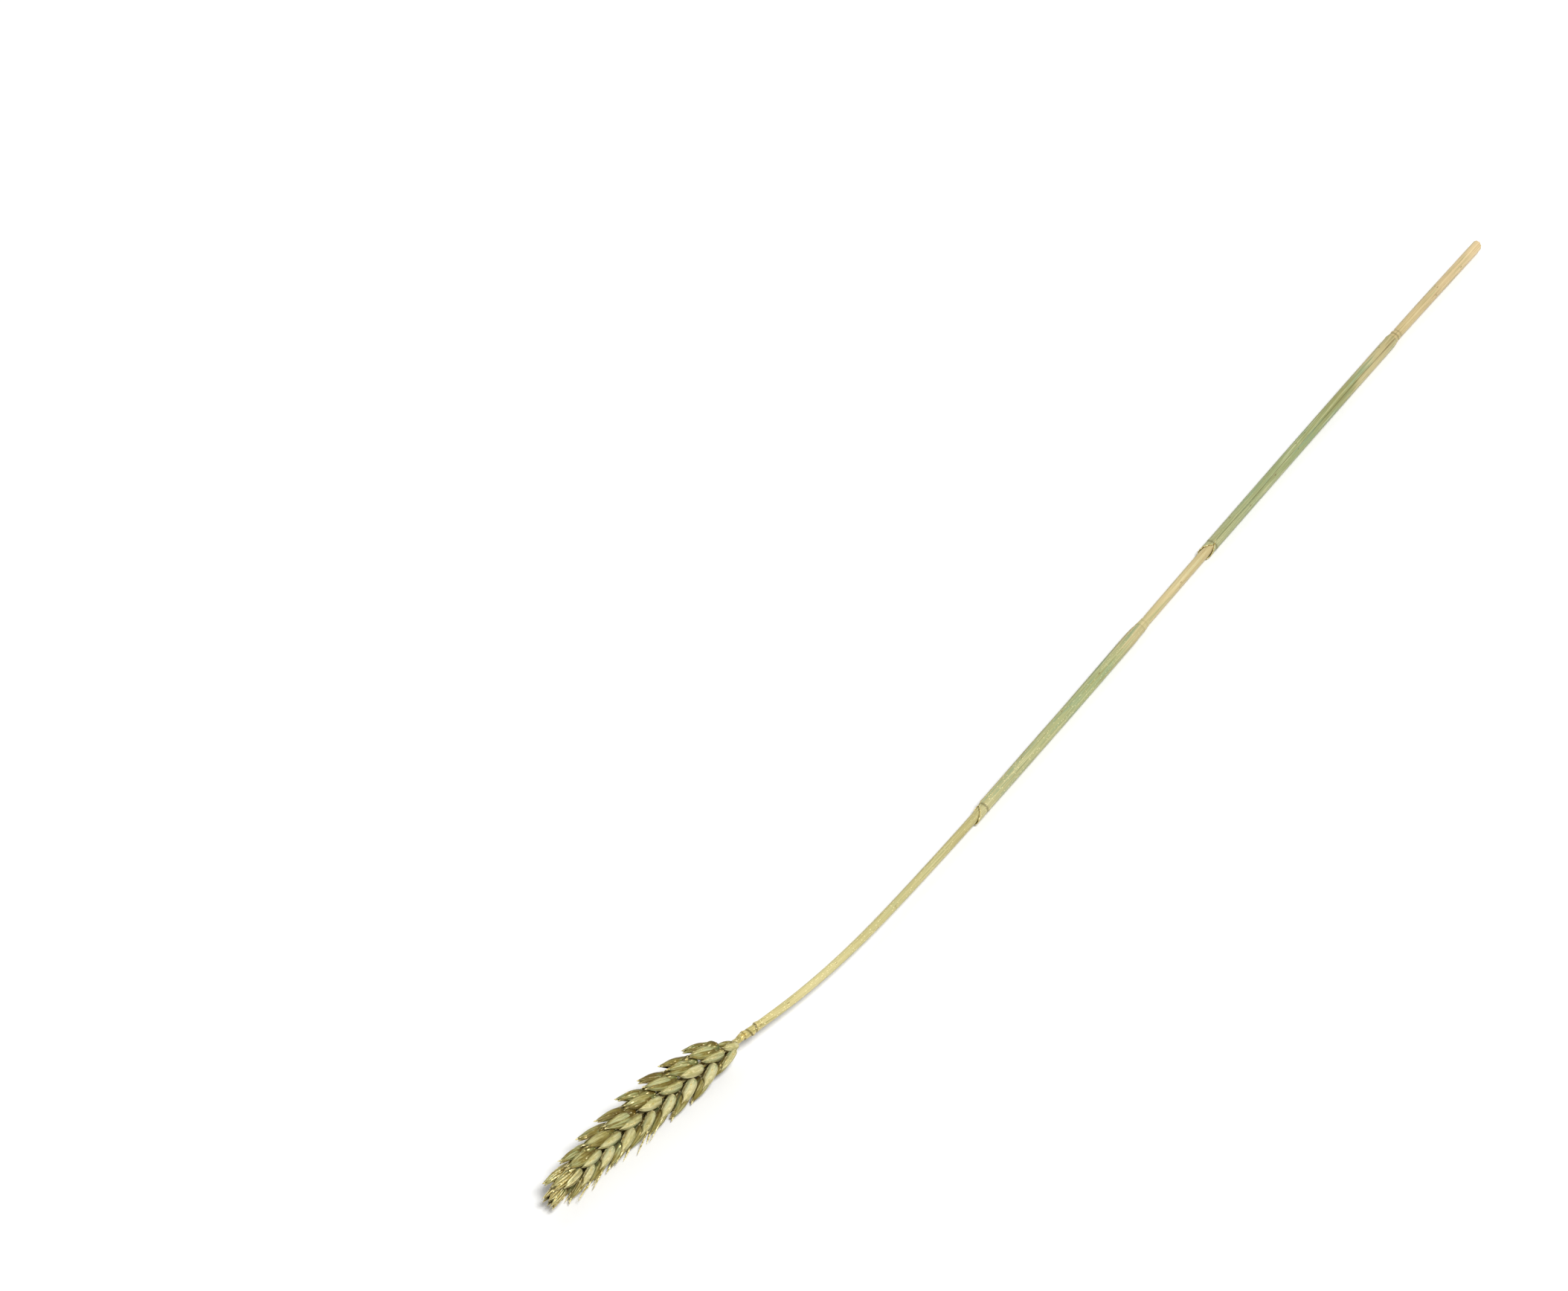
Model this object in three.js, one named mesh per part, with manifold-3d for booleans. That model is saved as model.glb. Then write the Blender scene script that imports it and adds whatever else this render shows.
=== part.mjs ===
// One dried ear of common wheat on its cut stem, lying on a level surface.
// Millimetres, +Z up. The stem runs along X, with the cut end at +X and the tip of the ear at -X.
// The origin is on the surface, under the middle of the whole stalk.
import * as THREE from "three";
import { mergeVertices } from "three/addons/utils/BufferGeometryUtils.js";
import Module from "manifold-3d";

const wasm = await Module();
wasm.setup();

// ---- Driving dimensions ---------------------------------------------------------------------------
// Distances along the stalk are measured from the cut end.
const STALK_LENGTH = 600;
const EAR_LENGTH = 95;
const LOWER_NODE_AT = 73; // the joint of the straw that the lower leaf grew from
const LOWER_COLLAR_AT = 218; // where the lower leaf's blade broke off
const UPPER_NODE_AT = 270;
const UPPER_COLLAR_AT = 378;

const CULM_RADIUS = 2.1; // at the cut end
const NECK_RADIUS = 1.38; // just under the ear
const NODE_SWELL = 0.5;
const NODE_HALF_LENGTH = 2.2;
const BORE_RADIUS = 1.35; // the straw is hollow up to its first joint
const BORE_DEPTH = LOWER_NODE_AT - 6;

const SHEATH_GAP = 0.2;
const SHEATH_WALL = 0.3;
const SHEATH_SLIT = 0.5; // radians left open between the two margins
const BLADE_STUB = 8; // what is left of the leaf blade past its collar

// The line that the middle of the stalk follows, from the cut end to the tip. The straw lies along the
// surface, its neck swings to +Y and rises to the thicker ear, and the ear bows back a little.
const ROUTE = [
  [0, 0, 2.6],
  [-LOWER_NODE_AT, 0.9, 2.6],
  [-LOWER_COLLAR_AT, 0.9, 2.5],
  [-330, 0.2, 2.5],
  [-410, 0.3, 3.2],
  [-455, 1.3, 4.5],
  [-482, 3.6, 5.9],
  [-505, 7.6, 6.9],
  [-530, 13.2, 7.4],
  [-552, 17.4, 7.3],
  [-576, 20.6, 6.3],
  [-598, 21.6, 4.9],
];

const SPIKELETS = 17; // on the two sides, without the one at the tip
const FIRST_SPIKELET_AT = 5; // above the foot of the ear
const TERMINAL_LENGTH = 11.6;
const TERMINAL_LIFT = 2.8; // keeps the last spikelet clear of the one before it
const RACHIS_HALF_WIDTH = 1.05;
const RACHIS_HALF_DEPTH = 0.5;
const RACHIS_FOOT_HALF_DEPTH = 0.8;
const RACHIS_LEDGE = 1.7; // times its half depth, under a spikelet
const RACHIS_WAIST = 0.6; // the same, behind a spikelet
const FOOT_OUT = 1.6; // from the rachis's centre to the foot of a spikelet
const EAR_ROLL = THREE.MathUtils.degToRad(25); // the upper row leans to +Y
const TERMINAL_TURN = Math.PI / 2; // the spikelet at the tip fans out across the others

const EAR_STARTS_AT = STALK_LENGTH - EAR_LENGTH;
const NODE_PITCH = (EAR_LENGTH - FIRST_SPIKELET_AT - TERMINAL_LENGTH) / SPIKELETS;

const MATERIALS = {
  straw: new THREE.MeshStandardMaterial({ color: 0xc9bf86, roughness: 0.55, metalness: 0.1 }),
  leaf: new THREE.MeshStandardMaterial({ color: 0x9fae7c, roughness: 0.7, metalness: 0.0 }),
  husk: new THREE.MeshStandardMaterial({ color: 0xa3a574, roughness: 0.5, metalness: 0.2 }),
};

// ---- Helpers --------------------------------------------------------------------------------------
const smooth = (x) => THREE.MathUtils.smoothstep(x, 0, 1);

// A repeatable scatter from -1 to 1.
function scatter(i, k) {
  const x = Math.sin(i * 12.9898 + k * 78.233) * 43758.5453;
  return 2 * (x - Math.floor(x)) - 1;
}

const route = new THREE.CatmullRomCurve3(ROUTE.map((point) => new THREE.Vector3(...point)));
route.arcLengthDivisions = 1200;

// The middle of the stalk at a distance along it from the cut end.
const routePoint = (along) => route.getPointAt(THREE.MathUtils.clamp(along / STALK_LENGTH, 0, 1));

// The axes of the stalk at a distance along it: forward to the tip, up and across.
function routeFrame(along, roll = 0) {
  const step = 0.5;
  const forward = routePoint(along + step).sub(routePoint(along - step)).normalize();
  const level = new THREE.Vector3(0, 0, 1).cross(forward).normalize();
  const up = forward.clone().cross(level).applyAxisAngle(forward, roll);
  return { at: routePoint(along), forward, up, across: up.clone().cross(forward) };
}

// Moves a geometry whose +Y is the distance along the stalk onto the stalk's line.
function layAlongRoute(geometry, roll = 0) {
  const p = geometry.getAttribute("position");
  for (let i = 0; i < p.count; i++) {
    const { at, up, across } = routeFrame(p.getY(i), roll);
    at.addScaledVector(across, p.getX(i)).addScaledVector(up, p.getZ(i));
    p.setXYZ(i, at.x, at.y, at.z);
  }
  return geometry;
}

// A closed geometry as a solid, and a solid as a geometry, for joining pieces.
function toSolid(geometry) {
  const bare = new THREE.BufferGeometry();
  const open = geometry.index ? geometry.toNonIndexed() : geometry;
  bare.setAttribute("position", open.getAttribute("position").clone());
  const merged = mergeVertices(bare, 1e-3);
  const solid = new wasm.Manifold(
    new wasm.Mesh({
      numProp: 3,
      vertProperties: new Float32Array(merged.getAttribute("position").array),
      triVerts: new Uint32Array(merged.index.array),
    }),
  );
  if (solid.volume() > 0) return solid;
  const flipped = merged.index.array;
  for (let i = 0; i < flipped.length; i += 3) {
    [flipped[i + 1], flipped[i + 2]] = [flipped[i + 2], flipped[i + 1]];
  }
  merged.setIndex(new THREE.BufferAttribute(new Uint32Array(flipped), 1));
  return toSolid(merged);
}

function toGeometry(solid) {
  const mesh = solid.getMesh();
  const geometry = new THREE.BufferGeometry();
  geometry.setAttribute("position", new THREE.BufferAttribute(mesh.vertProperties, 3));
  geometry.setIndex(new THREE.BufferAttribute(mesh.triVerts, 1));
  return geometry;
}

const join = (geometries) =>
  toGeometry(geometries.map(toSolid).reduce((whole, piece) => whole.add(piece)));

function namedMesh(name, geometry, material) {
  const mesh = new THREE.Mesh(geometry, material);
  mesh.name = name;
  return mesh;
}

// ---- The stem: culm, joints and rachis, grown as one piece -------------------------------------------
const culmTaper = (along) => THREE.MathUtils.lerp(CULM_RADIUS, NECK_RADIUS, along / EAR_STARTS_AT);

function culmRadius(along) {
  const swell = [LOWER_NODE_AT, UPPER_NODE_AT].map((node) => {
    const away = Math.abs(along - node) / NODE_HALF_LENGTH;
    return away < 1 ? NODE_SWELL * (1 - away * away) : 0;
  });
  return culmTaper(along) + Math.max(...swell);
}

function culmGeometry() {
  const stations = [0, 24, 48];
  for (const node of [LOWER_NODE_AT, UPPER_NODE_AT]) {
    for (const share of [-1, -0.5, 0, 0.5, 1]) stations.push(node + share * NODE_HALF_LENGTH);
  }
  for (let along = 105; along < EAR_STARTS_AT - 10; along += 24) {
    if (Math.abs(along - UPPER_NODE_AT) > 8) stations.push(along);
  }
  stations.push(EAR_STARTS_AT);
  stations.sort((a, b) => a - b);
  const profile = [
    new THREE.Vector2(0, BORE_DEPTH),
    new THREE.Vector2(BORE_RADIUS, BORE_DEPTH - 2),
    new THREE.Vector2(BORE_RADIUS, 0),
    ...stations.map((along) => new THREE.Vector2(culmRadius(along), along)),
    new THREE.Vector2(0, EAR_STARTS_AT + 1),
  ];
  return layAlongRoute(new THREE.LatheGeometry(profile, 12));
}

// The rachis steps from side to side: at the foot of each spikelet it swells into a ledge on that side.
function rachisGeometry() {
  const start = EAR_STARTS_AT - 1;
  const upper = [new THREE.Vector2(RACHIS_FOOT_HALF_DEPTH, start)];
  const lower = [new THREE.Vector2(-RACHIS_FOOT_HALF_DEPTH, start)];
  for (let i = 0; i <= SPIKELETS; i++) {
    const along = spikeletAt(i);
    const depth = RACHIS_HALF_DEPTH * THREE.MathUtils.lerp(1, 0.7, i / SPIKELETS);
    const [near, far, side] = i % 2 ? [lower, upper, -1] : [upper, lower, 1];
    near.push(new THREE.Vector2(side * depth * RACHIS_LEDGE, along - 0.5));
    near.push(new THREE.Vector2(side * depth * RACHIS_WAIST, along + 0.9));
    far.push(new THREE.Vector2(-side * depth, along + 0.2));
  }
  const outline = new THREE.Shape([...upper, ...lower.reverse()]);
  const bar = new THREE.ExtrudeGeometry(outline, { depth: 2 * RACHIS_HALF_WIDTH, bevelEnabled: false });
  bar.translate(0, 0, -RACHIS_HALF_WIDTH);
  // The outline's X is away from the rachis, which is up on the stalk, so X and Z change places.
  bar.rotateY(-Math.PI / 2);
  return layAlongRoute(bar, EAR_ROLL);
}

// ---- Leaf sheaths -----------------------------------------------------------------------------------
// A split tube round the culm from its joint to its collar, with a ragged stub of the blade past it.
function sheathGeometry(from, collar, slitTurn) {
  const inner = CULM_RADIUS + SHEATH_GAP;
  const outer = inner + SHEATH_WALL;
  const first = SHEATH_SLIT / 2;
  const last = 2 * Math.PI - SHEATH_SLIT / 2;
  const section = new THREE.Shape();
  section.absarc(0, 0, outer, first, last, false);
  section.absarc(0, 0, inner, last, first, true);
  const tube = new THREE.ExtrudeGeometry(section, {
    depth: 1,
    steps: 6,
    bevelEnabled: false,
    curveSegments: 12,
  });
  const start = from + NODE_HALF_LENGTH + 0.5;
  const p = tube.getAttribute("position");
  for (let i = 0; i < p.count; i++) {
    const turn = Math.atan2(p.getY(i), p.getX(i));
    const ragged = BLADE_STUB * (0.5 - 0.5 * Math.cos(turn)) + 0.5 * Math.sin(5 * turn);
    const end = collar + ragged;
    const along = start + (end - start) * p.getZ(i);
    const radius = Math.hypot(p.getX(i), p.getY(i)) - CULM_RADIUS + culmTaper(along);
    p.setXYZ(i, radius * Math.cos(turn + slitTurn), along, radius * Math.sin(turn + slitTurn));
  }
  return layAlongRoute(tube);
}

// ---- Spikelets ----------------------------------------------------------------------------------------
const spikeletAt = (i) => EAR_STARTS_AT + FIRST_SPIKELET_AT + i * NODE_PITCH;

// How large a spikelet is: stunted at the foot of the ear and finer towards its tip.
function spikeletSize(i) {
  const foot = Math.min(1, 0.55 + 0.16 * i);
  const tip = 1 - 0.2 * smooth((i - 0.6 * SPIKELETS) / (0.4 * SPIKELETS));
  return foot * tip;
}

function spikeletTilt(i) {
  const degrees = THREE.MathUtils.lerp(25, 15, smooth(i / SPIKELETS)) + 1.5 * scatter(i, 1);
  return THREE.MathUtils.degToRad(degrees);
}

// The two glumes and then the three florets of a full-sized spikelet: where each one's foot is along and
// across, the turn of its fan in degrees, and its length, depth and width.
const HUSKS = [
  { along: 0, across: 1.9, fan: 6, length: 9, depth: 4.4, width: 3.2 },
  { along: 0, across: -1.9, fan: -6, length: 9, depth: 4.4, width: 3.2 },
  { along: 0.7, across: 1.5, fan: 9, length: 11.4, depth: 4.8, width: 3.8 },
  { along: 0.9, across: -1.5, fan: -9, length: 11.4, depth: 4.8, width: 3.8 },
  { along: 2, across: 0.1, fan: 1, length: 10.4, depth: 4.6, width: 3.4 },
];

// A pod with a blunt foot, its belly below the middle and a pointed beak.
function huskGeometry({ along, across, fan, length, depth, width }, size) {
  const profile = [
    [0, 0],
    [0.68, 0.08],
    [1, 0.34],
    [0.78, 0.68],
    [0.2, 0.95],
    [0, 1],
  ].map(([radius, height]) => new THREE.Vector2(radius, height));
  return new THREE.LatheGeometry(profile, 7)
    .scale((depth * size) / 2, length * size, (width * size) / 2)
    .rotateX(THREE.MathUtils.degToRad(fan))
    .translate(0, along * size, across * size);
}

// Local axes of a spikelet: +Y along it, +X away from the rachis, +Z across its fan of florets.
function spikeletGeometry(i) {
  const size = spikeletSize(i);
  const opened = 1 + 0.1 * scatter(i, 2);
  return join(HUSKS.map((husk) => huskGeometry({ ...husk, fan: husk.fan * opened }, size)));
}

// Puts a spikelet's foot beside the rachis, turned round the stalk and tilted out from it.
function placeSpikelet(mesh, i, turn, out, tilt) {
  const { at, forward, up } = routeFrame(spikeletAt(i), EAR_ROLL);
  const outward = up.multiplyScalar(i % 2 ? -1 : 1).applyAxisAngle(forward, turn);
  const across = outward.clone().cross(forward);
  const tip = forward.clone().multiplyScalar(Math.cos(tilt)).addScaledVector(outward, Math.sin(tilt));
  const away = tip.clone().cross(across);
  mesh.quaternion.setFromRotationMatrix(new THREE.Matrix4().makeBasis(away, tip, across));
  mesh.position.copy(at).addScaledVector(outward, out);
  return mesh;
}

function spikelets() {
  const group = new THREE.Group();
  for (let i = 0; i < SPIKELETS; i++) {
    const name = `spikelet_${String(i + 1).padStart(2, "0")}`;
    const mesh = namedMesh(name, spikeletGeometry(i), MATERIALS.husk);
    const out = FOOT_OUT * (0.45 + 0.55 * spikeletSize(i));
    group.add(placeSpikelet(mesh, i, 0.06 * scatter(i, 3), out, spikeletTilt(i)));
  }
  const tip = namedMesh("spikelet_terminal", spikeletGeometry(SPIKELETS), MATERIALS.husk);
  group.add(placeSpikelet(tip, SPIKELETS, TERMINAL_TURN, 0, 0));
  tip.position.addScaledVector(routeFrame(spikeletAt(SPIKELETS)).forward, TERMINAL_LIFT);
  return group;
}

// ---- The whole stalk ----------------------------------------------------------------------------------
const wheatEar = new THREE.Group();
const stalk = new THREE.Group();
wheatEar.add(stalk);
stalk.add(
  namedMesh("culm_and_rachis", join([culmGeometry(), rachisGeometry()]), MATERIALS.straw),
  namedMesh("lower_leaf_sheath", sheathGeometry(LOWER_NODE_AT, LOWER_COLLAR_AT, 0.9), MATERIALS.leaf),
  namedMesh("flag_leaf_sheath", sheathGeometry(UPPER_NODE_AT, UPPER_COLLAR_AT, 2.4), MATERIALS.leaf),
  spikelets(),
);

// Stands the stalk on the surface, with the origin under the middle of its box.
const box = new THREE.Box3().setFromObject(stalk, true);
const middle = box.getCenter(new THREE.Vector3());
stalk.position.set(-middle.x, -middle.y, -box.min.z);

export default wheatEar;
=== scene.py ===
"""One dried, gilded ear of wheat on its cut stem, lying on a pale surface.

Shapes are worked out in millimetres along the stalk and are written in metres, in the frame's own axes.
Distances along the stalk are measured from the cut end.
"""
import math

import bpy
import numpy as np
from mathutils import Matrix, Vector


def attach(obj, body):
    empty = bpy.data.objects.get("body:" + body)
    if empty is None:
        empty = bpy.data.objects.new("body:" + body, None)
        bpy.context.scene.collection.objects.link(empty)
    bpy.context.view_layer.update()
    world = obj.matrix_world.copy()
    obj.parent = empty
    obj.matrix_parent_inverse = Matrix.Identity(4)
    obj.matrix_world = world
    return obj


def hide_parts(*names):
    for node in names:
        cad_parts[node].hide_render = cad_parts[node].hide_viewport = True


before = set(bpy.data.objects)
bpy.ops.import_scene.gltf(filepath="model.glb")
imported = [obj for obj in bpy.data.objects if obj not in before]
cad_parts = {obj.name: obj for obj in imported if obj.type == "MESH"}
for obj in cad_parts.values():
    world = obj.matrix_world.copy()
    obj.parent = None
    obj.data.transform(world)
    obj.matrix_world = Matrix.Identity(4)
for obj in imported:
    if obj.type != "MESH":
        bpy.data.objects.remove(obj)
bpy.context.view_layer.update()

MM = 0.001
STALK = 600.0  # the stalk's length
EAR_START = 505.0
LOWER_NODE, LOWER_COLLAR = 73.0, 218.0
UPPER_NODE, UPPER_COLLAR = 270.0, 378.0
CULM_RADIUS, NECK_RADIUS = 2.1, 1.38
SPIKELETS = 17  # on the two sides; number SPIKELETS, counted from 0, is the one at the tip
FIRST_SPIKELET = 5.0  # above the foot of the ear
ROW_SHIFT = 2.0  # how much nearer the tip the lowest spikelets sit than in the CAD
TERMINAL_LENGTH, TERMINAL_LIFT = 11.6, 2.8
FOOT_OUT = 1.6  # a full-sized spikelet's foot from the middle of the rachis
EAR_ROLL = math.radians(25)  # the upper row leans over
UPPER_ROW_TWIST = math.radians(20)  # of each spikelet about its own length, which the CAD doesn't have
PITCH = (STALK - EAR_START - FIRST_SPIKELET - TERMINAL_LENGTH) / SPIKELETS

FLOOR_GAP = 0.01  # the lowest that any point lies above the floor
PRESSED_BELOW = 0.9  # husks lower than this above the floor bend along it
HUSK_WALL, SHEATH_WALL = 0.15, 0.26
STEM_SIDES = 72
SHEATH_ROWS, SHEATH_COLUMNS = 150, 90
AWN_STEPS, AWN_SIDES = 9, 6
AWN_RADIUS, AWN_POINT = 0.28, 0.04
AWN_TONE = 0.5

# The middle of the stalk from the cut end, in millimetres: the CAD's own points.
ROUTE = np.array([
    [0, 0, 2.6], [-73, 0.9, 2.6], [-218, 0.9, 2.5], [-330, 0.2, 2.5], [-410, 0.3, 3.2], [-455, 1.3, 4.5],
    [-482, 3.6, 5.9], [-505, 7.6, 6.9], [-530, 13.2, 7.4], [-552, 17.4, 7.3], [-576, 20.6, 6.3],
    [-598, 21.6, 4.9],
])

draw = np.random.default_rng(17)


# ---- Numbers ----------------------------------------------------------------------------------------
def smooth(x):
    """Eases from 0 to 1 as x does."""
    x = np.clip(x, 0, 1)
    return x * x * (3 - 2 * x)


def hump(x, middle, half):
    """A bump of height 1 about a middle."""
    return np.exp(-(((x - middle) / half) ** 2))


def humps(x, rows):
    """The sum of bumps given as (height, middle, half)."""
    return sum(height * hump(x, middle, half) for height, middle, half in rows)


def scatter(i, k):
    """The same repeatable scatter from -1 to 1 that the CAD spikelets have."""
    x = math.sin(i * 12.9898 + k * 78.233) * 43758.5453
    return 2 * (x - math.floor(x)) - 1


def through(x, knots):
    """A smooth curve through knots of (x, value)."""
    kx, ky = np.array(knots, float).T
    slope = np.gradient(ky, kx)
    at = np.clip(np.searchsorted(kx, x, side="right") - 1, 0, len(kx) - 2)
    step = kx[at + 1] - kx[at]
    t = np.clip((x - kx[at]) / step, 0, 1)
    t2, t3 = t * t, t * t * t
    return (
        (2 * t3 - 3 * t2 + 1) * ky[at]
        + (t3 - 2 * t2 + t) * step * slope[at]
        + (3 * t2 - 2 * t3) * ky[at + 1]
        + (t3 - t2) * step * slope[at + 1]
    )


# ---- The stalk's line -------------------------------------------------------------------------------
def catmull_rom(points, per_span=400):
    """A centripetal curve through the points, as a dense polyline."""
    ends = np.vstack([2 * points[0] - points[1], points, 2 * points[-1] - points[-2]])
    t = np.linspace(0, 1, per_span, endpoint=False)[:, None]
    spans = []
    for p0, p1, p2, p3 in zip(ends, ends[1:], ends[2:], ends[3:]):
        d0, d1, d2 = (math.sqrt(np.linalg.norm(b - a)) for a, b in ((p0, p1), (p1, p2), (p2, p3)))
        t1 = ((p1 - p0) / d0 - (p2 - p0) / (d0 + d1) + (p2 - p1) / d1) * d1
        t2 = ((p2 - p1) / d1 - (p3 - p1) / (d1 + d2) + (p3 - p2) / d2) * d1
        c2 = 3 * (p2 - p1) - 2 * t1 - t2
        c3 = 2 * (p1 - p2) + t1 + t2
        spans.append(p1 + t * (t1 + t * (c2 + t * c3)))
    return np.vstack([*spans, points[-1:]])


LINE = catmull_rom(ROUTE)
LINE_LENGTHS = np.concatenate([[0], np.cumsum(np.linalg.norm(np.diff(LINE, axis=0), axis=1))])
LINE_LENGTHS *= STALK / LINE_LENGTHS[-1]


def route_point(along):
    """The middle of the stalk at distances along it."""
    along = np.clip(along, 0, STALK)
    return np.stack([np.interp(along, LINE_LENGTHS, LINE[:, k]) for k in range(3)], axis=-1)


def unit(v):
    return v / np.linalg.norm(v, axis=-1, keepdims=True)


def route_axes(along, roll=0.0):
    """Point, forward, up and across at distances along the stalk, with up rolled about forward."""
    along = np.asarray(along, float)
    forward = unit(route_point(along + 0.5) - route_point(along - 0.5))
    level = unit(np.cross([0, 0, 1.0], forward))
    rise = np.cross(forward, level)
    roll = np.asarray(roll, float)[..., None]
    up = rise * np.cos(roll) + np.cross(forward, rise) * np.sin(roll)
    return route_point(along), forward, up, np.cross(up, forward)


def stalk_shift():
    """From the stalk's own millimetres to the frame's: the middle of the cut end is the route's start."""
    ring = np.array([v.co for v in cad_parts["culm_and_rachis"].data.vertices])
    ring = ring[ring[:, 0] > ring[:, 0].max() - 0.1 * MM]
    return (ring.min(0) + ring.max(0)) / 2 / MM - ROUTE[0]


SHIFT = stalk_shift()


# ---- Meshes -----------------------------------------------------------------------------------------
# A part is (points, faces, fields): points (n, 3) in stalk millimetres, and values per vertex that the
# materials read. All parts have
#   stalk  0 to 1 along the stalk
#   grain  millimetres along the part's fibres, and two values crosswise
#   edge   how much gilding there; its brightest gold is a painted glint
# The stem and the sheaths also have
#   ring   how much painted shade: joints, scars, slits and the bore
# and husks have
#   rim    how near the margin or the point
#   rise   0 at a husk's foot, 1 at its tip
#   vein   0 on a vein, 1 between veins
#   tone   one value from dark to pale for each husk, with painted light on the lower row and painted shade on the upper
#   out    millimetres from the middle of the ear
def grid_faces(rows, columns, closed=False):
    """The quads of a grid of vertices; a closed grid joins its last column to its first."""
    wide = columns if closed else columns - 1
    r, c = (v.ravel() for v in np.meshgrid(np.arange(rows - 1), np.arange(wide), indexing="ij"))
    this, after, right = r * columns, (r + 1) * columns, (c + 1) % columns
    return np.stack([this + c, this + right, after + right, after + c], 1)


def merge(parts):
    """Several parts with the same fields as one part."""
    points, faces, fields, start = [], [], {}, 0
    for part_points, part_faces, part_fields in parts:
        points.append(part_points)
        faces += [[start + i for i in face] for face in part_faces]
        for key, values in part_fields.items():
            fields.setdefault(key, []).append(values)
        start += len(part_points)
    return np.vstack(points), faces, {key: np.concatenate(v) for key, v in fields.items()}


def rim_faces(rows, columns, inner):
    """The quads that join the border of a grid to the border of the same grid, `inner` vertices on."""
    last_row = (rows - 1) * columns
    c, r = np.arange(columns - 1), np.arange(rows - 1) * columns
    edges = np.concatenate([
        np.stack([c, c + 1], 1),
        np.stack([r + columns - 1, r + 2 * columns - 1], 1),
        np.stack([last_row + c + 1, last_row + c], 1),
        np.stack([r + columns, r], 1),
    ])
    a, b = edges.T
    return np.stack([b, a, a + inner, b + inner], 1)


def shell(grid, thickness, fields):
    """A grid (rows, columns, 3) given a thickness on its inner side, closed round its border."""
    rows, columns, _ = grid.shape
    normal = unit(np.cross(np.gradient(grid, axis=1), np.gradient(grid, axis=0)) + 1e-12)
    points = np.concatenate([grid.reshape(-1, 3), (grid - normal * thickness).reshape(-1, 3)])
    outer = grid_faces(rows, columns)
    count = rows * columns
    faces = np.concatenate([outer, outer[:, ::-1] + count, rim_faces(rows, columns, count)])
    doubled = {key: np.concatenate([v.reshape(count, -1)] * 2).squeeze() for key, v in fields.items()}
    return points, faces.tolist(), doubled


def make_piece(name, part, material, node):
    """A mesh object from a part, standing for one CAD node."""
    points, faces, fields = part
    points = points + SHIFT
    points[:, 2] = np.maximum(points[:, 2], FLOOR_GAP)
    data = bpy.data.meshes.new(name)
    data.from_pydata((points * MM).tolist(), [], faces)
    for key, values in fields.items():
        if values.ndim == 2:
            data.attributes.new(key, "FLOAT_VECTOR", "POINT").data.foreach_set("vector", values.ravel())
        else:
            data.attributes.new(key, "FLOAT", "POINT").data.foreach_set("value", values)
    data.materials.append(material)
    data.shade_smooth()
    piece = bpy.data.objects.new(name, data)
    bpy.context.scene.collection.objects.link(piece)
    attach(piece, "root")
    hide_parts(node)


# ---- Stem -------------------------------------------------------------------------------------------
def culm_radius(s):
    """The straw's radius, which tapers evenly to the neck."""
    return CULM_RADIUS + (NECK_RADIUS - CULM_RADIUS) * np.minimum(s, EAR_START) / EAR_START


# The joints, as (height, middle, half) of each raised ring, crease and swelling.
LOWER_JOINT = ((0.2, 71.0, 0.55), (-0.16, 69.6, 0.9), (-0.14, 72.3, 0.45), (0.4, 75.2, 2.4))
UPPER_JOINT = ((0.1, 268.4, 0.5), (-0.06, 267.2, 0.8), (0.32, 271.2, 2.2))
# Where the joints are shaded, in the same form.
JOINT_SHADE = ((0.7, 72.3, 0.4), (0.45, 69.9, 0.5), (0.2, 269.4, 0.4))


def node_relief(s):
    """How far the joints stand proud of the straw."""
    return humps(s, LOWER_JOINT) + humps(s, UPPER_JOINT)


# Rings of the stem: from, to and step. They lie close at the cut, the joints, the neck and the rachis.
STEM_SPANS = (
    (0, 3, 0.3), (3, 64, 2.0), (64, 80, 0.25), (80, 262, 2.5), (262, 277, 0.25), (277, 497, 2.2),
    (497, 592, 0.3),
)


def stem_stations():
    """Where the stem's rings are along it."""
    return np.concatenate([np.arange(*span) for span in STEM_SPANS])


def spikelet_at(i):
    """Where spikelet i, counted from 0, sits along the stalk."""
    return EAR_START + FIRST_SPIKELET + ROW_SHIFT * (1 - i / SPIKELETS) + i * PITCH


def rachis_depths(s):
    """Half depths of the rachis towards the upper and the lower row: ledges under the spikelets' feet."""
    upper, lower = [(EAR_START - 1, 1.1)], [(EAR_START - 1, 1.1)]
    for i in range(SPIKELETS + 1):
        depth = 0.72 * (1 - 0.3 * i / SPIKELETS)
        near, far = (lower, upper) if i % 2 else (upper, lower)
        near += [(spikelet_at(i) - 0.5, depth * 2.1), (spikelet_at(i) + 0.9, depth * 0.6)]
        far += [(spikelet_at(i) + 0.2, depth)]
    return np.interp(s, *np.array(upper).T), np.interp(s, *np.array(lower).T)


# Along the stalk, and the turn that each faces.
FOOT_SCARS = ((505.2, 1.9), (507.9, -1.1), (510.6, 1.2))
SCAR_HEIGHT, SCAR_LENGTH, SCAR_SLANT = 0.5, 2.4, 0.45


def scar_relief(s, turn):
    """Low collars left round the foot of the ear where spikelets never grew, each open on one side."""
    relief = np.zeros(np.broadcast(s, turn).shape)
    for at, facing in FOOT_SCARS:
        ahead = (s - at + SCAR_SLANT * np.cos(turn - facing)) / SCAR_LENGTH
        tooth = np.where((ahead > -1) & (ahead < 0), (1 + ahead) ** 2, np.exp(-np.abs(ahead) * 14))
        ragged = 0.8 + 0.2 * np.sin(5 * turn + 3 * facing) * np.cos(2 * turn)
        open_side = 0.3 + 0.7 * smooth(0.5 + 0.9 * np.cos(turn - facing))
        relief += SCAR_HEIGHT * tooth * ragged * open_side
    return relief


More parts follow.
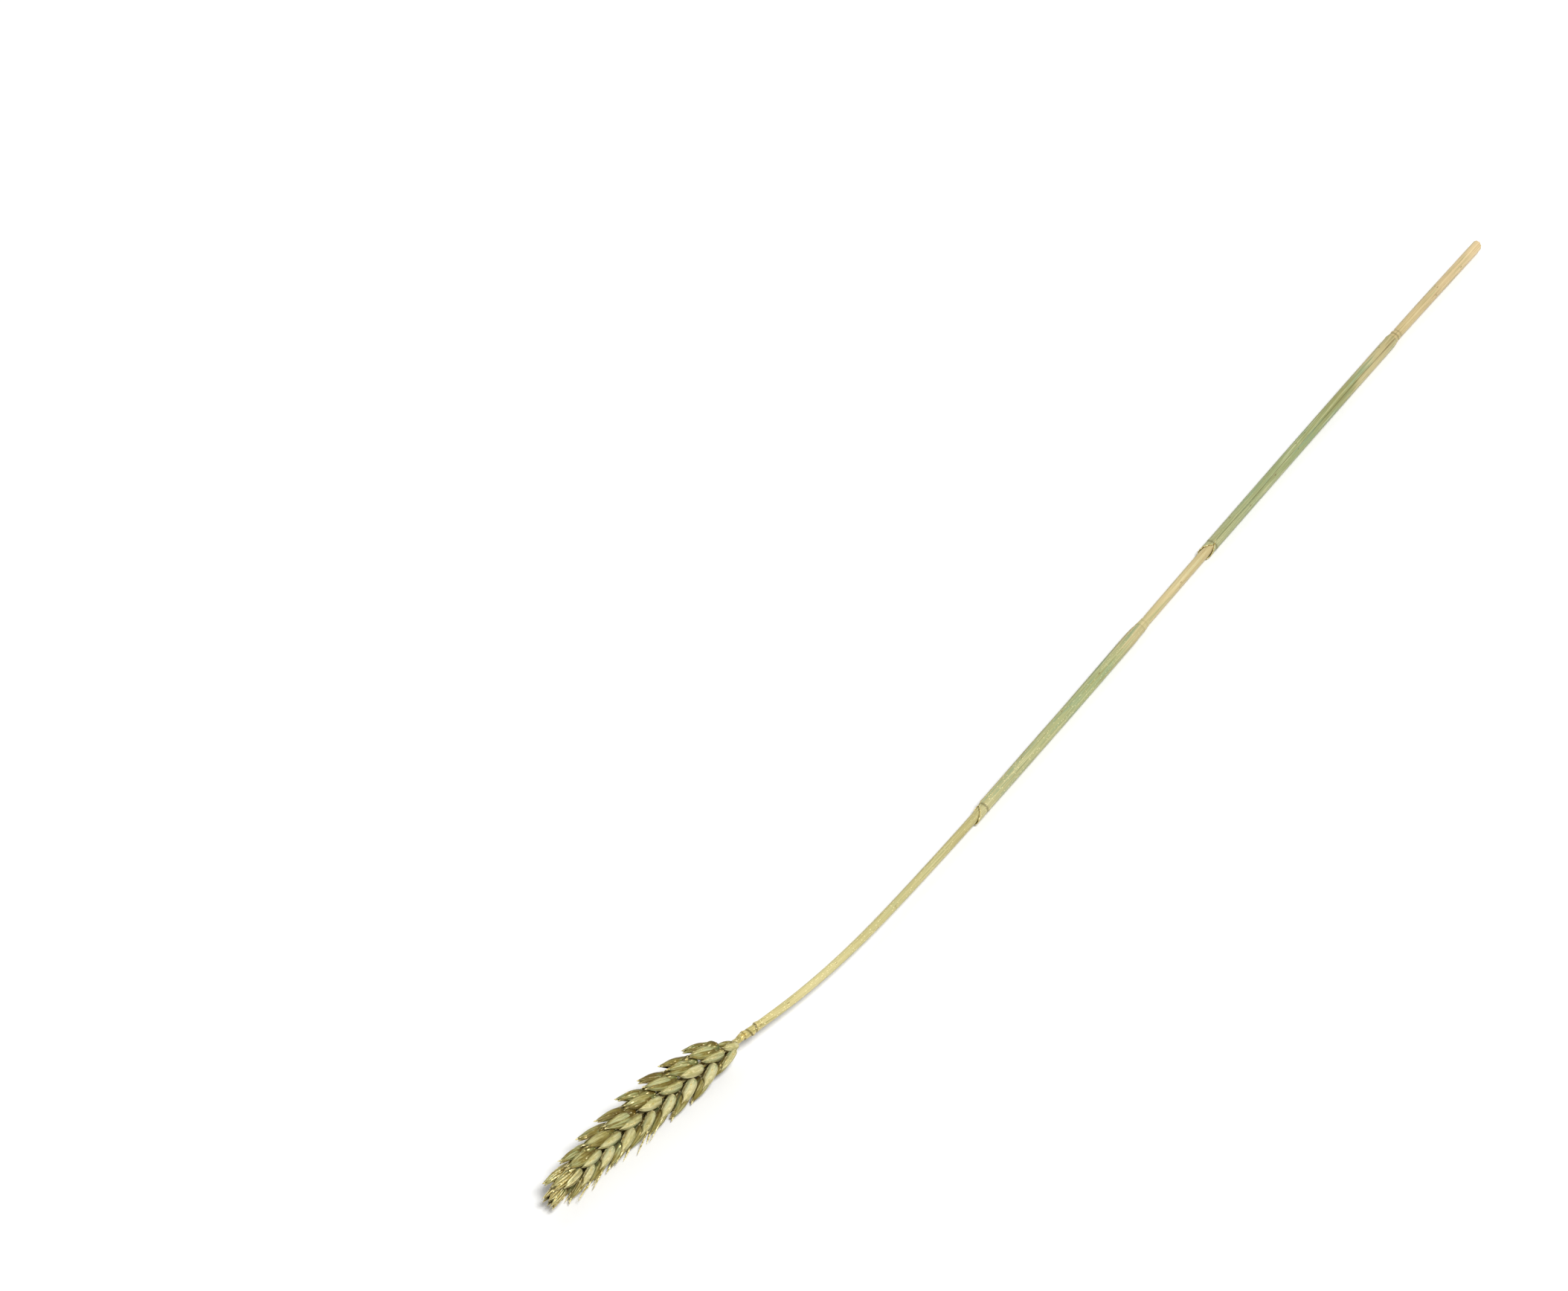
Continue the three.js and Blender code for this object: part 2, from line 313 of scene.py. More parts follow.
def stem_skin():
    """The outside of the straw and the rachis as one grid of rings, with its edge and ring fields."""
    s = stem_stations()[:, None]
    turn = np.linspace(0, 2 * math.pi, STEM_SIDES, endpoint=False)[None, :]
    # The cut is slanting and a little ragged.
    slant = 1.5 * (0.5 - 0.5 * np.cos(turn - 2.2)) + 0.16 * np.sin(9 * turn) + 0.12 * np.sin(23 * turn + 1)
    s = s + np.maximum(slant, 0) * (1 - smooth(s / 12))
    ribs = 0.022 * np.cos(18 * turn + 0.4 * np.sin(s / 31)) + 0.012 * np.sin(7 * turn + s / 60)
    round_part = culm_radius(s) * (1 + 0.012 * np.sin(s / 23)) + node_relief(s) + ribs
    rachis = smooth((s - 508) / 5)
    upper, lower = rachis_depths(s)
    deep = np.where(np.sin(turn) > 0, upper, lower)
    scars = scar_relief(s, turn) * (1 - smooth((s - 511) / 2))
    wide = 1.55 * (1 - 0.35 * smooth((s - 540) / 50))
    x = np.cos(turn) * (round_part * (1 - rachis) + wide * rachis + scars)
    z = np.sin(turn) * (round_part * (1 - rachis) + deep * rachis + scars)
    at, _, up, across = route_axes(s, EAR_ROLL * smooth((s - 492) / 12))
    grid = at + x[..., None] * across + z[..., None] * up
    edge = np.clip(scars / 0.4, 0, 1) ** 3 + smooth((deep - 0.8) / 0.35) * rachis
    # Painted shade in the joints' creases and on the steep face of each scar.
    ring = humps(s, JOINT_SHADE) + 0 * turn
    for at, facing in FOOT_SCARS:
        ring = ring + 1.2 * hump(s, at + 0.42 - SCAR_SLANT * np.cos(turn - facing), 0.34)
    return grid, s, turn, np.clip(edge, 0, 1), np.clip(ring, 0, 1)


def stem_fields(s, turn, edge, ring):
    """All fields of the straw or a sheath, at stations s and turns round it."""
    s, turn, edge, ring = (np.broadcast_to(v, np.broadcast(s, turn).shape) for v in (s, turn, edge, ring))
    grain = np.stack([s, 2 * np.cos(turn), 2 * np.sin(turn)], -1).reshape(-1, 3)
    return {
        "stalk": s.ravel() / STALK,
        "grain": grain,
        "edge": edge.ravel(),
        "ring": ring.ravel(),
    }


# The hollow of the straw from its mouth to its pithy floor: share of the outer radius, and depth.
BORE = (
    (0.72, 0.05), (0.665, 0.35), (0.65, 3), (0.65, 20), (0.64, 45), (0.62, 64), (0.3, 66.4), (0.02, 67),
)
BORE_SHADE = (1, 1, 1, 1, 1, 0.8, 0.2, 0)  # from its floor to its mouth


def bore_rings(first_ring, middle):
    """Rings from the cut wall into the hollow of the straw."""
    forward = route_axes(0.0)[1]
    return [middle + (first_ring - middle) * share + forward * depth for share, depth in BORE]


def stem_part():
    """The straw, its joints, its bore and the rachis, closed at both ends."""
    grid, s, turn, edge, ring = stem_skin()
    rows, columns, _ = grid.shape
    bore = bore_rings(grid[0], route_point(0.0))
    points = np.concatenate([np.array(bore[::-1]).reshape(-1, 3), grid.reshape(-1, 3)])
    inside = len(bore)
    fields = stem_fields(s, turn, edge, ring)
    hollow = stem_fields(np.zeros((inside, 1)), turn, np.zeros((1, 1)), np.ones((1, 1)))
    fields = {key: np.concatenate([hollow[key], fields[key]]) for key in fields}
    fields["ring"][:inside * columns] = np.repeat(BORE_SHADE, columns)
    faces = grid_faces(rows + inside, columns, closed=True).tolist()
    faces.append(list(range(columns))[::-1])
    faces.append([(rows + inside - 1) * columns + c for c in range(columns)])
    return points, faces, fields


# ---- Leaf sheaths -----------------------------------------------------------------------------------
SHEATH_STUB = 7.5  # of the blade, past the collar
TEAR_TEETH = 30


def sheath_part(start, collar, slit, seed):
    """A leaf rolled round the straw, its margins overlapping at the slit, with the torn stub of its blade."""
    share = np.linspace(0, 1, SHEATH_COLUMNS)[None, :]
    step = np.linspace(0, 1, SHEATH_ROWS)[:, None]
    around = 2 * math.pi * share
    teeth = np.random.default_rng(seed).uniform(-0.5, 0.5, TEAR_TEETH + 1)
    jag = through(share, [(k / TEAR_TEETH, v) for k, v in enumerate(teeth)])
    end = collar + SHEATH_STUB * (0.5 - 0.5 * np.cos(around)) ** 0.4 + 0.8 * jag
    # Rows gather at the two ends, where the joint, the collar and the tear are.
    s = start + (end - start) * (0.5 - 0.5 * np.cos(math.pi * step)) ** 0.9
    overlap = 0.12 + 0.1 * np.sin(s / 41 + seed) + 0.06 * np.sin(s / 9.3 + seed)
    turn = slit - overlap + (2 * math.pi + 2 * overlap) * share
    over = 0.24 * smooth(share) + 0.16 * smooth((share - 0.95) / 0.05) - 0.1 * smooth((0.06 - share) / 0.06)
    ribs = 0.03 * np.cos(26 * around) + 0.02 * np.cos(11 * around + s / 70)
    loose = 0.3 * smooth((s - start) / 7)
    fold = 0.14 * hump(s, collar, 0.5) - 0.08 * hump(s, collar + 1.1, 0.5)
    fold = fold + 0.1 * smooth((s - collar) / SHEATH_STUB)
    radius = culm_radius(s) + node_relief(s) + 0.08 + loose + over * smooth((s - start) / 3) + ribs + fold
    at, _, up, across = route_axes(s)
    grid = at + (radius * np.cos(turn))[..., None] * across + (radius * np.sin(turn))[..., None] * up
    margin = smooth(1 - np.minimum(share, 1 - share) / 0.02) + 0 * s
    torn = smooth((s - end + 0.7) / 0.7)
    # Painted shade at the collar's crease, at the sheath's start and along the slit where the margins
    # overlap.
    ring = 0.8 * hump(s, collar + 1.0, 0.45) + 0.3 * hump(s, start, 0.4) + 0.6 * margin
    fields = stem_fields(s, turn, np.clip(torn, 0, 1), np.clip(ring, 0, 1))
    return shell(grid, SHEATH_WALL, fields)


# ---- Husks ------------------------------------------------------------------------------------------
# Local axes of a husk: +Y along it, +Z out of its back and +X across its back. Each form has its half width
# and its depth along it, as shares; how far its sides wrap round, in radians; its keel's height and where
# that runs; the beak and the sloping shoulder at its tip, in millimetres; its bend; and its count of veins.
GLUME = {
    "half": [(0, 0.5), (0.06, 0.76), (0.2, 0.95), (0.4, 1), (0.6, 0.94), (0.8, 0.72), (0.93, 0.44), (1, 0.2)],
    "deep": [(0, 0.5), (0.06, 0.78), (0.22, 0.95), (0.42, 1), (0.7, 0.84), (0.9, 0.54), (1, 0.3)],
    "spread": 1.75, "keel": 0.42, "keel_at": 0.3, "beak": 0.9, "shoulder": 0.7, "bend": 0.2, "veins": 7,
}
BLUNT_GLUME = {
    **GLUME, "beak": 1.3, "shoulder": 1.3,
    "half": [
        (0, 0.5), (0.06, 0.76), (0.2, 0.95), (0.4, 1), (0.65, 0.99), (0.85, 0.84), (0.95, 0.62), (1, 0.44),
    ],
}
LEMMA = {
    "half": [
        (0, 0.25), (0.07, 0.6), (0.22, 0.92), (0.4, 1), (0.62, 0.86), (0.8, 0.55), (0.93, 0.24), (1, 0.07),
    ],
    "deep": [(0, 0.25), (0.08, 0.6), (0.25, 0.93), (0.42, 1), (0.65, 0.8), (0.85, 0.42), (1, 0.08)],
    "spread": 2.15, "keel": 0.12, "keel_at": 0.0, "beak": 0.5, "shoulder": 0.0, "bend": 0.7, "veins": 9,
}
PALEA = {
    "half": [(0, 0.2), (0.1, 0.6), (0.35, 0.95), (0.6, 0.86), (0.85, 0.45), (1, 0.12)],
    "deep": [(0, 0.2), (0.2, 0.8), (0.5, 1), (0.8, 0.6), (1, 0.15)],
    "spread": 1.5, "keel": 0.15, "keel_at": 0.7, "beak": 0.0, "shoulder": 0.0, "bend": 0.3, "veins": 4,
}


def husk_grid(form, length, depth, width, rows, columns):
    """The outside of one husk, boat-shaped, with its keel, veins and beak; depth is over X, width over Z."""
    v = np.linspace(0, 1, rows)[:, None]
    phi = np.linspace(-form["spread"], form["spread"], columns)[None, :]
    half, deep = through(v, form["half"]), through(v, form["deep"])
    keel = hump(phi, form["keel_at"], 0.2)
    veins = 0.05 * np.cos(form["veins"] * phi) * np.sin(math.pi * np.clip(v, 0, 0.95))
    bulge = 1 + form["keel"] * 0.35 * keel * smooth(v / 0.3) + veins
    x = np.sin(phi) * half * depth / 2 * bulge
    z = np.cos(phi) * deep * width / 2 * bulge
    late = smooth((v - 0.72) / 0.28)
    y = v * length + form["beak"] * hump(phi, form["keel_at"], 0.3) * late
    y = y - form["shoulder"] * smooth((phi - form["keel_at"]) / 1.2) * late
    z = z - form["bend"] * (v**3) * width / 2
    return np.stack([x, y + 0 * z, z], -1), v + 0 * phi, phi + 0 * v, keel


def husk_fields(form, length, depth, v, phi, keel, tone, stalk):
    """The fields of a husk at v along it and phi round it."""
    inward = form["spread"] - np.abs(phi)
    margin = smooth(1 - inward / 0.3)
    tip = smooth((v - 0.93) / 0.07)
    ridge = 0.6 * keel * (form["keel"] > 0.3) * smooth((v - 0.2) / 0.5)
    edge = np.clip(np.maximum.reduce([margin * (0.2 + 0.8 * v), tip, ridge]), 0, 1)
    seed = 40 * tone
    grain = np.stack([v * length + seed, phi * depth / 2 + seed, 0 * v + seed], -1).reshape(-1, 3)
    flat = np.ones(v.size)
    return {
        "grain": grain,
        "edge": edge.ravel(),
        "rim": np.maximum(smooth(1.1 - inward / 1.0), 0.8 * smooth((v - 0.84) / 0.12)).ravel(),
        "rise": v.ravel(),
        "vein": (0.5 - 0.5 * np.cos(form["veins"] * phi) * np.sin(math.pi * np.clip(v, 0, 0.97))).ravel(),
        "tone": flat * tone,
        "stalk": flat * stalk,
    }


def turned(points, fan, turn, lean):
    """Turns about the husk's own length, then fans towards +Z, then leans towards +X."""
    ct, st = math.cos(turn), math.sin(turn)
    cf, sf = math.cos(fan), math.sin(fan)
    cl, sl = math.cos(lean), math.sin(lean)
    about_y = np.array([[ct, 0, st], [0, 1, 0], [-st, 0, ct]])
    about_x = np.array([[1, 0, 0], [0, cf, -sf], [0, sf, cf]])
    about_z = np.array([[cl, sl, 0], [-sl, cl, 0], [0, 0, 1]])
    return points @ (about_z @ about_x @ about_y).T


def husk(form, size, base, length, depth, width, fan, turn, lean, tone, stalk, detail):
    """One husk as a thin shell, with its foot at base and its angles in degrees."""
    rows, columns = detail
    grid, v, phi, keel = husk_grid(form, length * size, depth * size, width * size, rows, columns)
    grid = turned(grid, math.radians(fan), math.radians(turn), math.radians(lean)) + np.array(base) * size
    return shell(grid, HUSK_WALL, husk_fields(form, length, depth, v, phi, keel, tone, stalk))


def husk_tip(form, size, base, length, depth, width, fan, turn, lean):
    """The point of a husk, and the way that it points."""
    point = np.array([0, length + 0.4 * form["beak"], (0.08 - form["bend"]) * width / 2])
    angles = math.radians(fan), math.radians(turn), math.radians(lean)
    return (turned(point, *angles) + np.array(base)) * size, turned(np.array([0, 1.0, 0]), *angles)


def awn(base, heading, length, bend, stalk):
    """A thin bristle from the tip of a husk, tapering and bending."""
    t = np.linspace(0, 1, AWN_STEPS)[:, None]
    heading = unit(np.array(heading, float))
    side = unit(np.cross(heading, [0.3, 0.2, 1.0]))
    other = np.cross(heading, side)
    middle = np.array(base) + heading * t * length + np.array(bend) * (t**2) * length
    turn = np.linspace(0, 2 * math.pi, AWN_SIDES, endpoint=False)
    radius = (AWN_RADIUS * (1 - t**2) + AWN_POINT)[..., None]
    ring = np.cos(turn)[None, :, None] * side + np.sin(turn)[None, :, None] * other
    points = (middle[:, None, :] + radius * ring).reshape(-1, 3)
    faces = grid_faces(AWN_STEPS, AWN_SIDES, closed=True).tolist()
    faces += [list(range(AWN_SIDES))[::-1], [(AWN_STEPS - 1) * AWN_SIDES + k for k in range(AWN_SIDES)]]
    count = len(points)
    along = np.repeat(t.ravel(), AWN_SIDES)
    fields = {
        "grain": points.copy(),
        "edge": 0.7 + 0.3 * along,
        "rim": np.zeros(count),
        "rise": np.ones(count),
        "vein": np.zeros(count),
        "tone": np.full(count, AWN_TONE),
        "stalk": np.full(count, stalk),
    }
    return points, faces, fields


# ---- Spikelets --------------------------------------------------------------------------------------
def spikelet_size(i):
    """How large a spikelet is: stunted at the foot of the ear and finer towards its tip."""
    foot = min(1, 0.74 + 0.1 * i)
    return foot * (1 - 0.14 * float(smooth((i - 0.6 * SPIKELETS) / (0.4 * SPIKELETS))))


def spikelet_tilt(i):
    """How far a spikelet leans out: the first more than in the CAD, and the next two and the last less."""
    stunted = -7 if i == 0 else 18 * max(0, 1 - i / 2.5)
    closing = 10 * float(smooth(i / SPIKELETS)) + 6 * float(smooth((i - 12) / 4))
    return math.radians(25 - closing + 1.5 * scatter(i, 1) - stunted)


FIRST_FORWARD, FIRST_INWARD = 2.6, 1.2  # the first spikelet sits nearer the tip and nearer the rachis


def spikelet_axes(i):
    """Foot of a spikelet and its axes as rows: away from the rachis, along it, and across its fan."""
    last = i == SPIKELETS
    turn = math.pi / 2 if last else 0.06 * scatter(i, 3)
    at, forward, up, _ = route_axes(spikelet_at(i) + (FIRST_FORWARD if i == 0 else 0.0), EAR_ROLL)
    outward = up * (-1 if i % 2 else 1)
    outward = outward * math.cos(turn) + np.cross(forward, outward) * math.sin(turn)
    across = np.cross(outward, forward)
    if last:
        tilt, foot = 0.0, at + route_axes(spikelet_at(i))[1] * TERMINAL_LIFT
    else:
        near = FOOT_OUT * (0.45 + 0.55 * spikelet_size(i)) - (FIRST_INWARD if i == 0 else 0.0)
        tilt, foot = spikelet_tilt(i), at + outward * near
    tip = forward * math.cos(tilt) + outward * math.sin(tilt)
    away = np.cross(tip, across)
    twist = 0.0 if last or i % 2 else UPPER_ROW_TWIST * (1 + 0.3 * scatter(i, 5))
    turned_away = away * math.cos(twist) + across * math.sin(twist)
    return foot, np.array([turned_away, tip, np.cross(turned_away, tip)])


def wobble(amount):
    """The next of the seeded draws, up to an amount either way."""
    return draw.uniform(-amount, amount)


# The husks of a spikelet: where each foot is away from the rachis, along the spikelet and across it; its
# length, depth and width; its fan, turn and lean in degrees; its tone; and for some lemmas the share of the
# row's longest bristle that it carries. The husks that both sides have are given for side 1: for side -1 the
# across and the fan change sign, and the turn is taken from 180.
POINTED_GLUME_SHAPE = (-0.3, -0.9, 2.1), 9.8, 4.0, 3.0, 9.5, 12, 1, 0.9
BLUNT_GLUME_SHAPE = (-0.3, -0.9, 2.1), 8.0, 4.3, 3.1, 10, 12, 2, 0.95
FIRST_LEMMA_SHAPE = (-0.4, 0.2, 0.6), 9.6, 3.4, 3.0, 6, 14, 0, 0.5
SIDE_LEMMA_SHAPE = (0.3, 0.8, 1.1), 12.6, 3.8, 3.3, 9.5, 14, 4, 0.4, 1.0
MIDDLE_LEMMAS = (
    ((0.9, 0.0, 0.0), 8.0, 5.0, 4.6, 0, 90, 6, 0.1),
    ((0.9, 1.8, 0.8), 11.4, 3.2, 3.3, 6, 50, 7, 0.75, 0.8),
    ((0.5, 3.2, -0.9), 10.2, 3.1, 3.2, -7, 125, 6, 0.4),
    ((-0.3, 4.4, 0.1), 8.8, 3.0, 2.6, 1, 250, 0, 0.25),
)
# At the tip the husks stand in a ring: length and tone of each, and how far the ring's husks spread.
TIP_RING = ((8.6, 0.8), (8.9, 0.6), (8.2, 0.7), (8.8, 0.5), (8.4, 0.75), (8.0, 0.6))
TIP_RADIUS, TIP_SPREAD = 1.5, 7
LOOSE_BRISTLES = (-3.4, -2.2, -1.0, 0.4, 1.6, 2.6, 3.4)  # across the spikelet


def longest_bristle(i):
    """Bristles are longest in the middle of the ear and on the lower row."""
    return 1.4 + (5.0 if i % 2 else 0.8) * float(smooth((i - 4) / 6) * smooth((17 - i) / 4))


def spikelet_husks(i, detail):
    """Glumes, lemmas, paleas and bristles of one spikelet, in its own axes."""
    size = spikelet_size(i)
    stalk = spikelet_at(i) / STALK
    open_out = 1 + 0.1 * scatter(i, 2)
    lower_row = i % 2
    # Painted light and shade: the lower row is painted lighter and the upper row darker.
    row_painted_light_and_shade = 0.06 if lower_row else -0.1
    longest = longest_bristle(i)
    parts = []

    def add(form, base, length, depth, width, fan, turn, lean, bright, bristle=0.0):
        tone = float(np.clip(bright + row_painted_light_and_shade + wobble(0.2), 0, 1))
        length = length * (1 + wobble(0.05))
        shape = (base, length, depth, width, fan * open_out, turn + wobble(7), lean + wobble(2))
        parts.append(husk(form, size, *shape, tone, stalk, detail))
        reach = longest * bristle * draw.uniform(0.3, 1)
        bend = (0.08 + wobble(0.1), 0, wobble(0.12))
        if bristle and i > 2:
            point, heading = husk_tip(form, size, *shape)
            straying = (wobble(0.08), 0, wobble(0.08))
            parts.append(awn(point - heading * 0.5, heading + straying, reach, bend, stalk))

    def add_on_side(side, form, base, length, depth, width, fan, turn, *rest):
        away, along, across = base
        back = 0 if side > 0 else 180
        add(form, (away, along, side * across), length, depth, width, side * fan, back + side * turn, *rest)

    if i == SPIKELETS:
        for k, (length, bright) in enumerate(TIP_RING):
            turn = 60 * k + 20
            sine, cosine = math.sin(math.radians(turn)), math.cos(math.radians(turn))
            base = (TIP_RADIUS * sine, -0.6, TIP_RADIUS * cosine)
            form = GLUME if k % 3 == 0 else LEMMA
            add(form, base, length, 3.0, 1.9, TIP_SPREAD * cosine, turn, TIP_SPREAD * sine, bright)
        add(PALEA, (0, 0.4, 0.3), 7.0, 2.4, 1.8, 0, 0, 0, 0.2)
        return parts
    for side in (1, -1):
        # On the lower row, the side that the photo shows has blunt glumes.
        if lower_row and i > 1 and side < 0:
            add_on_side(side, BLUNT_GLUME, *BLUNT_GLUME_SHAPE)
        else:
            add_on_side(side, GLUME, *POINTED_GLUME_SHAPE)
        if i == 0:
            add_on_side(side, LEMMA, *FIRST_LEMMA_SHAPE)
            break
        add_on_side(side, LEMMA, *SIDE_LEMMA_SHAPE)
        if i > 1:
            palea_turn = 180 if side > 0 else 360
            add(PALEA, (0.2, 1.4, side * 0.8), 10.4, 3.0, 1.5, side * 6, palea_turn, 3, 0.2)
    if lower_row and i > 6:
        for across in LOOSE_BRISTLES:
            heading = (wobble(0.1) + 0.05, 1, wobble(0.1) + across * 0.04)
            base = (1.2 + wobble(0.8), 6.0 + wobble(1.5), across)
            reach = (7.5 + wobble(2.5)) * float(smooth((19 - i) / 6))
            parts.append(awn(base, heading, reach, (wobble(0.1), 0, wobble(0.1)), stalk))
    if i > 1:
        for shape in MIDDLE_LEMMAS:
            add(LEMMA, *shape)
    return parts


def pressed_down(points):
    """Husks that reach the surface bend along it instead of going through."""
    z = points[:, 2] + SHIFT[2]
    bent = PRESSED_BELOW * np.exp((np.minimum(z, PRESSED_BELOW) - PRESSED_BELOW) / PRESSED_BELOW)
    points[:, 2] = np.where(z < PRESSED_BELOW, bent, z) - SHIFT[2]
    return points


# Both ends of the ear get less painted shade.
LIT_EXTRA = 2.5  # added to "out" at both ends of the ear, which are not sunk between neighbours


def spikelet_part(i, detail):
    """One spikelet in stalk millimetres."""
    points, faces, fields = merge(spikelet_husks(i, detail))
    foot, axes = spikelet_axes(i)
    points = pressed_down(points @ axes + foot)
    at, forward, _, _ = route_axes(spikelet_at(i))
    middle = route_point(spikelet_at(i) + (points - at) @ forward)
    lit = LIT_EXTRA if i == SPIKELETS or i < 2 else 0.0
    fields["out"] = np.linalg.norm(points - middle, axis=1) + lit
    return points, faces, fields


# ---- Material nodes ---------------------------------------------------------------------------------
def srgb(red, green, blue):
    """An sRGB colour, 0 to 255, as the linear colour of a socket."""
    parts = [c / 255 for c in (red, green, blue)]
    return (*[c / 12.92 if c <= 0.04045 else ((c + 0.055) / 1.055) ** 2.4 for c in parts], 1)


class Nodes:
    """Adds nodes to one material's tree, each socket given as a value or as another node's output."""

    def __init__(self, name):
        self.material = bpy.data.materials.new(name)
        self.material.use_nodes = True
        self.tree = self.material.node_tree
        self.tree.nodes.clear()

    def add(self, kind, inputs, output=0, **settings):
        """Adds a node with its sockets filled, and returns one of its outputs."""
        made = self.tree.nodes.new(kind)
        for key, value in settings.items():
            setattr(made, key, value)
        for key, value in inputs.items():
            if isinstance(value, bpy.types.NodeSocket):
                self.tree.links.new(value, made.inputs[key])
            else:
                made.inputs[key].default_value = value
        return made.outputs[output] if made.outputs else None

    def field(self, name, vector=False):
        return self.add("ShaderNodeAttribute", {}, "Vector" if vector else "Fac", attribute_name=name)

    def math(self, operation, a, b=0.0, clamp=False):
        return self.add("ShaderNodeMath", {0: a, 1: b}, operation=operation, use_clamp=clamp)

    def mix(self, factor, a, b):
        """From colour a at factor 0 to colour b at factor 1."""
        inputs = {0: factor, 6: a, 7: b}
        return self.add("ShaderNodeMix", inputs, 2, data_type="RGBA")

    def stretch(self, vector, along, across):
        """A grain vector scaled, so that what is drawn over it is longer along the fibres."""
        inputs = {0: vector, 1: (along, across, across)}
        return self.add("ShaderNodeVectorMath", inputs, operation="MULTIPLY")

    def noise(self, vector, detail=4.0, roughness=0.6):
        inputs = {"Vector": vector, "Scale": 1.0, "Detail": detail, "Roughness": roughness}
        return self.add("ShaderNodeTexNoise", inputs, "Fac")

    def span(self, value, low, high, to_low=0.0, to_high=1.0):
        """Smoothly from to_low where the value is low to to_high where it is high."""
        inputs = {"Value": value, "From Min": low, "From Max": high, "To Min": to_low, "To Max": to_high}
        return self.add("ShaderNodeMapRange", inputs, "Result", interpolation_type="SMOOTHSTEP")

    def flecks(self, vector, share):
        """1 in a share of small round cells, 0 elsewhere."""
        cells = self.tree.nodes.new("ShaderNodeTexVoronoi")
        self.tree.links.new(vector, cells.inputs["Vector"])
        cells.inputs["Scale"].default_value = 1.0
        pick = self.add("ShaderNodeSeparateColor", {0: cells.outputs["Color"]}, 0)
        chosen = self.math("LESS_THAN", pick, share)
        return self.math("MULTIPLY", chosen, self.span(cells.outputs["Distance"], 0.42, 0.3))

    def ramp(self, value, stops):
        """The colour at a value, between stops of (position, colour)."""
        made = self.tree.nodes.new("ShaderNodeValToRGB")
        self.tree.links.new(value, made.inputs[0])
        elements = made.color_ramp.elements
        while len(elements) < len(stops):
            elements.new(0.5)
        for element, (position, colour) in zip(elements, stops):
            element.position, element.color = position, colour
        return made.outputs[0]

    def finish(self, colour, roughness, metallic, specular, height, depth):
        """The surface, with a bump of a depth in millimetres; returns the material."""
        bump = self.add("ShaderNodeBump", {"Strength": 0.5, "Distance": depth * MM, "Height": height})
        inputs = {"Base Color": colour, "Roughness": roughness, "Metallic": metallic, "Normal": bump}
        surface = self.add("ShaderNodeBsdfPrincipled", {**inputs, "Specular IOR Level": specular})
        self.add("ShaderNodeOutputMaterial", {"Surface": surface})
        return self.material


# DEEP_GOLD is the gilding's own colour; the near-white gold is a painted glint, and GLINT is glitter flecks
# painted as glints.
PAINTED_GLINT_GOLD, DEEP_GOLD, GLINT = srgb(255, 244, 186), srgb(206, 178, 92), srgb(248, 236, 178)
SHADE, SPECK = srgb(84, 70, 30), srgb(110, 84, 48)
PALE_FIBRE, DARK_FIBRE = srgb(234, 222, 176), srgb(132, 116, 64)
PALE_STREAK, DARK_STREAK = srgb(236, 228, 180), srgb(112, 96, 40)
# Dark between the veins: partly the husks' own stripes, partly painted shade in the grooves.
GROOVE_SHADE_AND_STRIPE = srgb(98, 82, 26)
# Painted shade, in brown and green, for where husks are tucked in.
PAINTED_SHADE_BROWN, PAINTED_SHADE_GREEN = srgb(84, 62, 14), srgb(66, 82, 34)
STRAW_DYE, LEAF_DYE, HUSK_DYE = srgb(160, 172, 122), srgb(132, 158, 122), srgb(154, 174, 124)
STALK_SPECULAR, HUSK_SPECULAR, FLOOR_SPECULAR = 0.3, 0.18, 0.3


def stalk_material(name, stops, dye, patches, glitter_and_glints):
    """Dry straw or leaf: colour along the stalk, dye in patches, long fibres, specks, painted shade, and
    gilding with painted glints.
    """
    n = Nodes(name)
    grain = n.field("grain", vector=True)
    where = n.field("stalk")
    long_noise = n.noise(n.stretch(grain, 0.045, 1.1), detail=3)
    fibres = n.noise(n.stretch(grain, 0.035, 2.4), detail=6, roughness=0.7)
    moved = n.math("ADD", where, n.span(long_noise, 0.25, 0.75, -0.02, 0.02))
    colour = n.ramp(moved, stops)
    patch = n.math("MULTIPLY", n.span(long_noise, 0.5, 0.66), patches)
    colour = n.mix(patch, colour, dye)
    colour = n.mix(n.span(fibres, 0.5, 0.68, 0.0, 0.5), colour, PALE_FIBRE)
    colour = n.mix(n.span(fibres, 0.47, 0.33, 0.0, 0.55), colour, DARK_FIBRE)
    specks = n.flecks(n.stretch(grain, 0.55, 1.7), 0.02)
    colour = n.mix(n.math("MULTIPLY", specks, 0.6), colour, SPECK)
    # Painted shade in the joints' creases, on the scars' steep faces, along the slits and in the bore.
    colour = n.mix(n.math("MULTIPLY", n.field("ring"), 0.8), colour, SHADE)
    # Flecks of gold glitter, their brightness a painted glint.
    glints = n.math("MULTIPLY", n.flecks(n.stretch(grain, 1.1, 1.7), 0.3), n.ramp(where, glitter_and_glints))
    colour = n.mix(glints, colour, GLINT)
    # Gilding on edges and scars; its brightest gold is a painted glint.
    gilt_and_glint = n.math("MULTIPLY", n.field("edge"), 0.8)
    gold = n.mix(n.span(n.noise(n.stretch(grain, 1.2, 1.6)), 0.45, 0.58), DEEP_GOLD, PAINTED_GLINT_GOLD)
    colour = n.mix(gilt_and_glint, colour, gold)
    metallic = n.math("MULTIPLY", n.math("MAXIMUM", gilt_and_glint, glints), 0.45)
    roughness = n.span(fibres, 0.2, 0.8, 0.42, 0.62)
    roughness = n.math("SUBTRACT", roughness, n.math("MULTIPLY", gilt_and_glint, 0.16))
    return n.finish(colour, roughness, metallic, STALK_SPECULAR, fibres, 0.12)


def grey(level):
    """A stop of a ramp that stands for a plain value."""
    return (level, level, level, 1)


